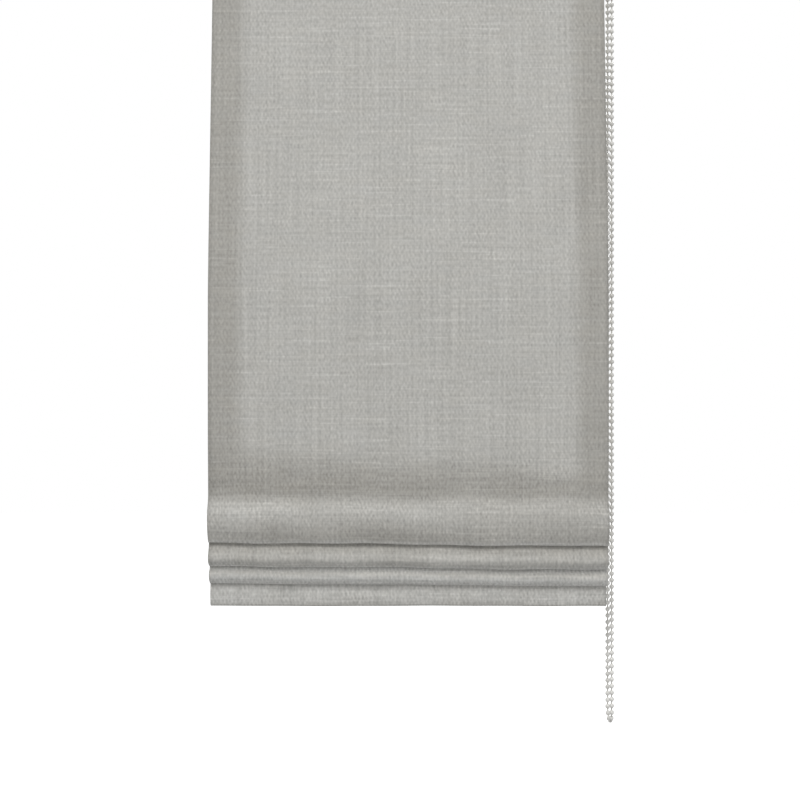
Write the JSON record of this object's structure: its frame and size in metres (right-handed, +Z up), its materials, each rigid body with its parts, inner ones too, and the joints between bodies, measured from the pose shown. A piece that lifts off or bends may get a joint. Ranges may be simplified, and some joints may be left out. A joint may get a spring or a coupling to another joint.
{
  "type": "roman blind",
  "caption": "Part-raised roman blind: a lined woven cloth gathered into soft folds over a weighted hem, hung from a headrail with cord spools and a bead chain drive.",
  "frame": {"origin": "in the ceiling plane, midway between the two bracket fixing holes", "axes": "+Z up, +X along the headrail towards the chain, -Y towards the room"},
  "size_m": [0.3675, 0.0698, 0.7509],
  "materials": {
    "face_cloth": "matte slub weave",
    "lining": "plain sateen lining",
    "tape": "woven touch fastening",
    "cord": "braided cord",
    "rail": "white powder coat",
    "steel": "zinc plated",
    "bar": "mill finish",
    "white_plastic": "moulded",
    "clear_plastic": "moulded, slightly glossy"
  },
  "bodies": {
    "headrail": {"headrail": "rail", "end_cap": "white_plastic", "drive_housing": "white_plastic", "drive_cover": "white_plastic", "bracket_left": "steel", "bracket_right": "steel", "cradle_left": "white_plastic", "cradle_right": "white_plastic", "hook_tape": "tape", "loop_tape": "tape", "lift_cord_left": "cord", "lift_cord_right": "cord", "bead_chain": "clear_plastic"},
    "drive": {"chain_wheel": "white_plastic", "drive_shaft": "steel", "spool_left": "white_plastic", "spool_right": "white_plastic", "winding_left": "cord", "winding_right": "cord"},
    "stack": {"face_cloth": "face_cloth", "lining": "lining", "hem_bar": "bar", "hem_bar_caps": "white_plastic", "batten_one": "clear_plastic", "batten_two": "clear_plastic", "batten_three": "clear_plastic", "batten_four": "clear_plastic", "sleeve_one": "lining", "sleeve_two": "lining", "sleeve_three": "lining", "sleeve_four": "lining", "stack_rings": "clear_plastic", "cord_anchors": "white_plastic"},
    "batten_five": {"batten_five": "clear_plastic", "sleeve_five": "lining", "rings_five": "clear_plastic"},
    "batten_six": {"batten_six": "clear_plastic", "sleeve_six": "lining", "rings_six": "clear_plastic"}
  },
  "joints": [
    {"name": "lift", "type": "slide", "parent": "headrail", "child": "stack", "axis": [0, 0, 1], "range_m": [-0.42977, 0.28651], "deforming": ["face_cloth", "lining", "lift_cord_left", "lift_cord_right"]},
    {"name": "drive_turn", "type": "hinge", "parent": "headrail", "child": "drive", "pos_m": [0.1845, 0, -0.0194], "axis": [1, 0, 0], "range_deg": [-2161, 3241], "deforming": ["bead_chain"]},
    {"name": "batten_five_lift", "type": "slide", "parent": "headrail", "child": "batten_five", "axis": [0, 0, 1], "range_m": [-0.32, 0.22]},
    {"name": "batten_six_lift", "type": "slide", "parent": "headrail", "child": "batten_six", "axis": [0, 0, 1], "range_m": [-0.11, 0.08]}
  ],
  "couplings": [
    {"joint": "drive_turn", "follows": "lift", "rad_per_m": -131.58},
    {"joint": "batten_five_lift", "follows": "lift", "ratio": 0.7104},
    {"joint": "batten_six_lift", "follows": "lift", "ratio": 0.2017}
  ]
}
